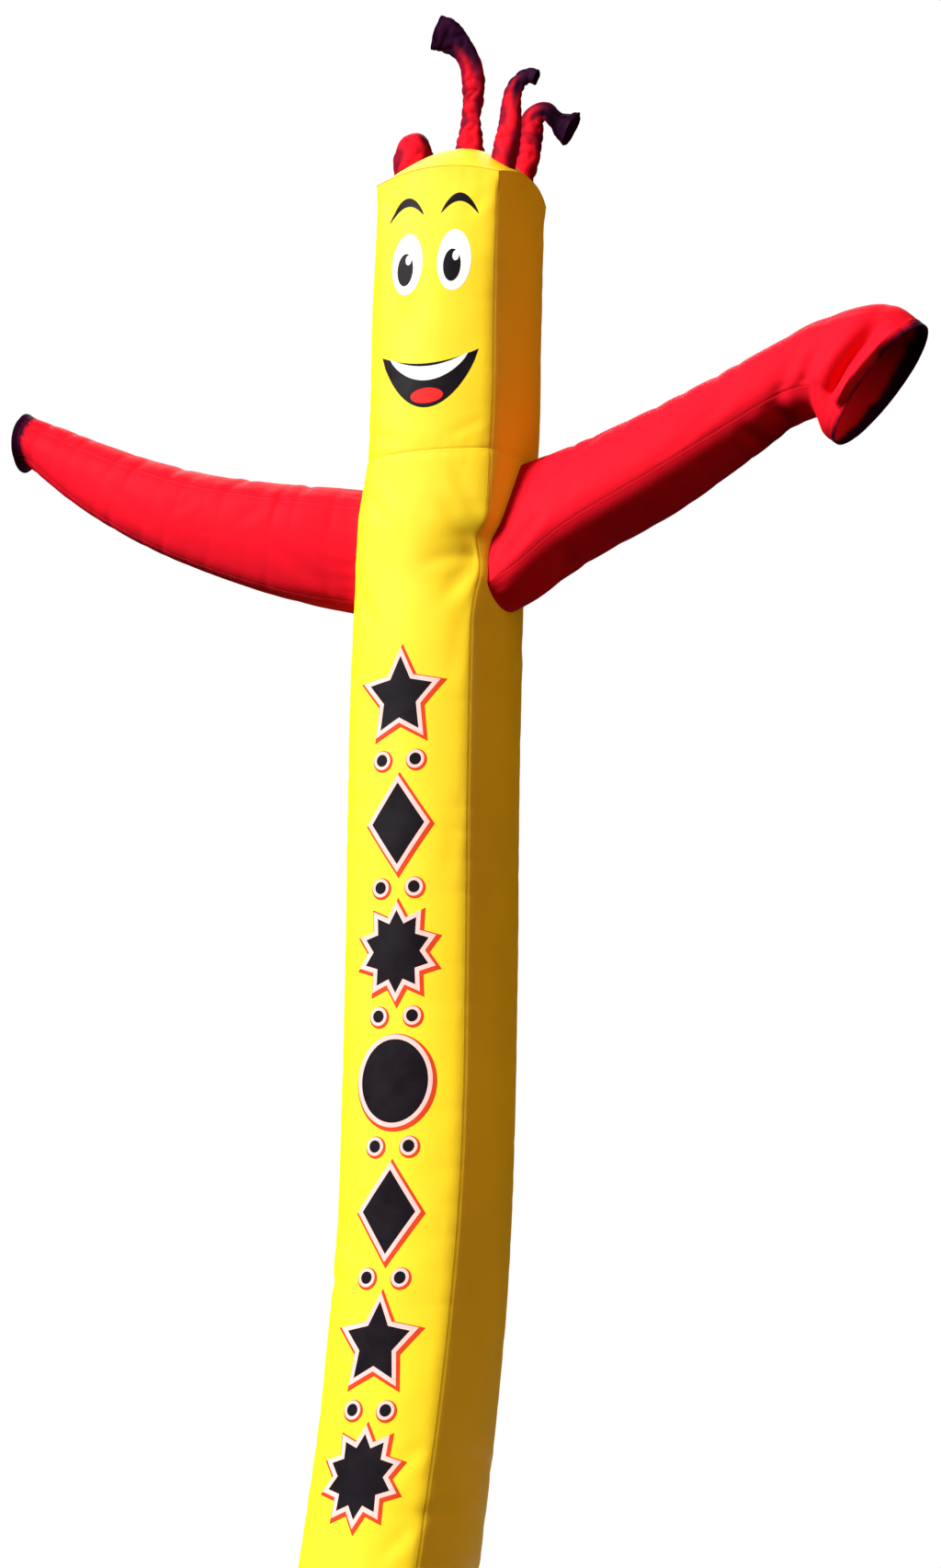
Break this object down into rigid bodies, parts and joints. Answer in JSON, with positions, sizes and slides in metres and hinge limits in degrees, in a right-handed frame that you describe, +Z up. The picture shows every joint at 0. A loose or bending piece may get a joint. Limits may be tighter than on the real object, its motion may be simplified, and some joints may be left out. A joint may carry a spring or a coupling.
{
  "type": "inflatable air dancer",
  "caption": "Tall hollow nylon tube figure that a blower holds up: a square body with a smiling printed head, two open sleeves and tufts of open hair tubes.",
  "frame": {"origin": "centre of the open base, in the plane of the hem that the figure stands on", "axes": "+Z up along the standing figure, -Y the way its printed front faces, +X towards the raised sleeve"},
  "size_m": [3.2928, 0.537, 6.0432],
  "materials": {
    "yellow_nylon": "thin woven nylon with a slight sheen, printed on the front",
    "red_nylon": "thin woven nylon with a slight sheen"
  },
  "bodies": {
    "root": {"body_front": "yellow_nylon", "body_right": "yellow_nylon", "body_back": "yellow_nylon", "body_left": "yellow_nylon", "head_front": "yellow_nylon", "head_right": "yellow_nylon", "head_back": "yellow_nylon", "head_left": "yellow_nylon", "head_top": "yellow_nylon", "sleeve_right_front": "red_nylon", "sleeve_right_top": "red_nylon", "sleeve_right_back": "red_nylon", "sleeve_right_underside": "red_nylon", "sleeve_left_front": "red_nylon", "sleeve_left_top": "red_nylon", "sleeve_left_back": "red_nylon", "sleeve_left_underside": "red_nylon", "hair_left": "red_nylon", "hair_middle": "red_nylon", "hair_right_front": "red_nylon", "hair_right_back": "red_nylon"}
  },
  "joints": []
}
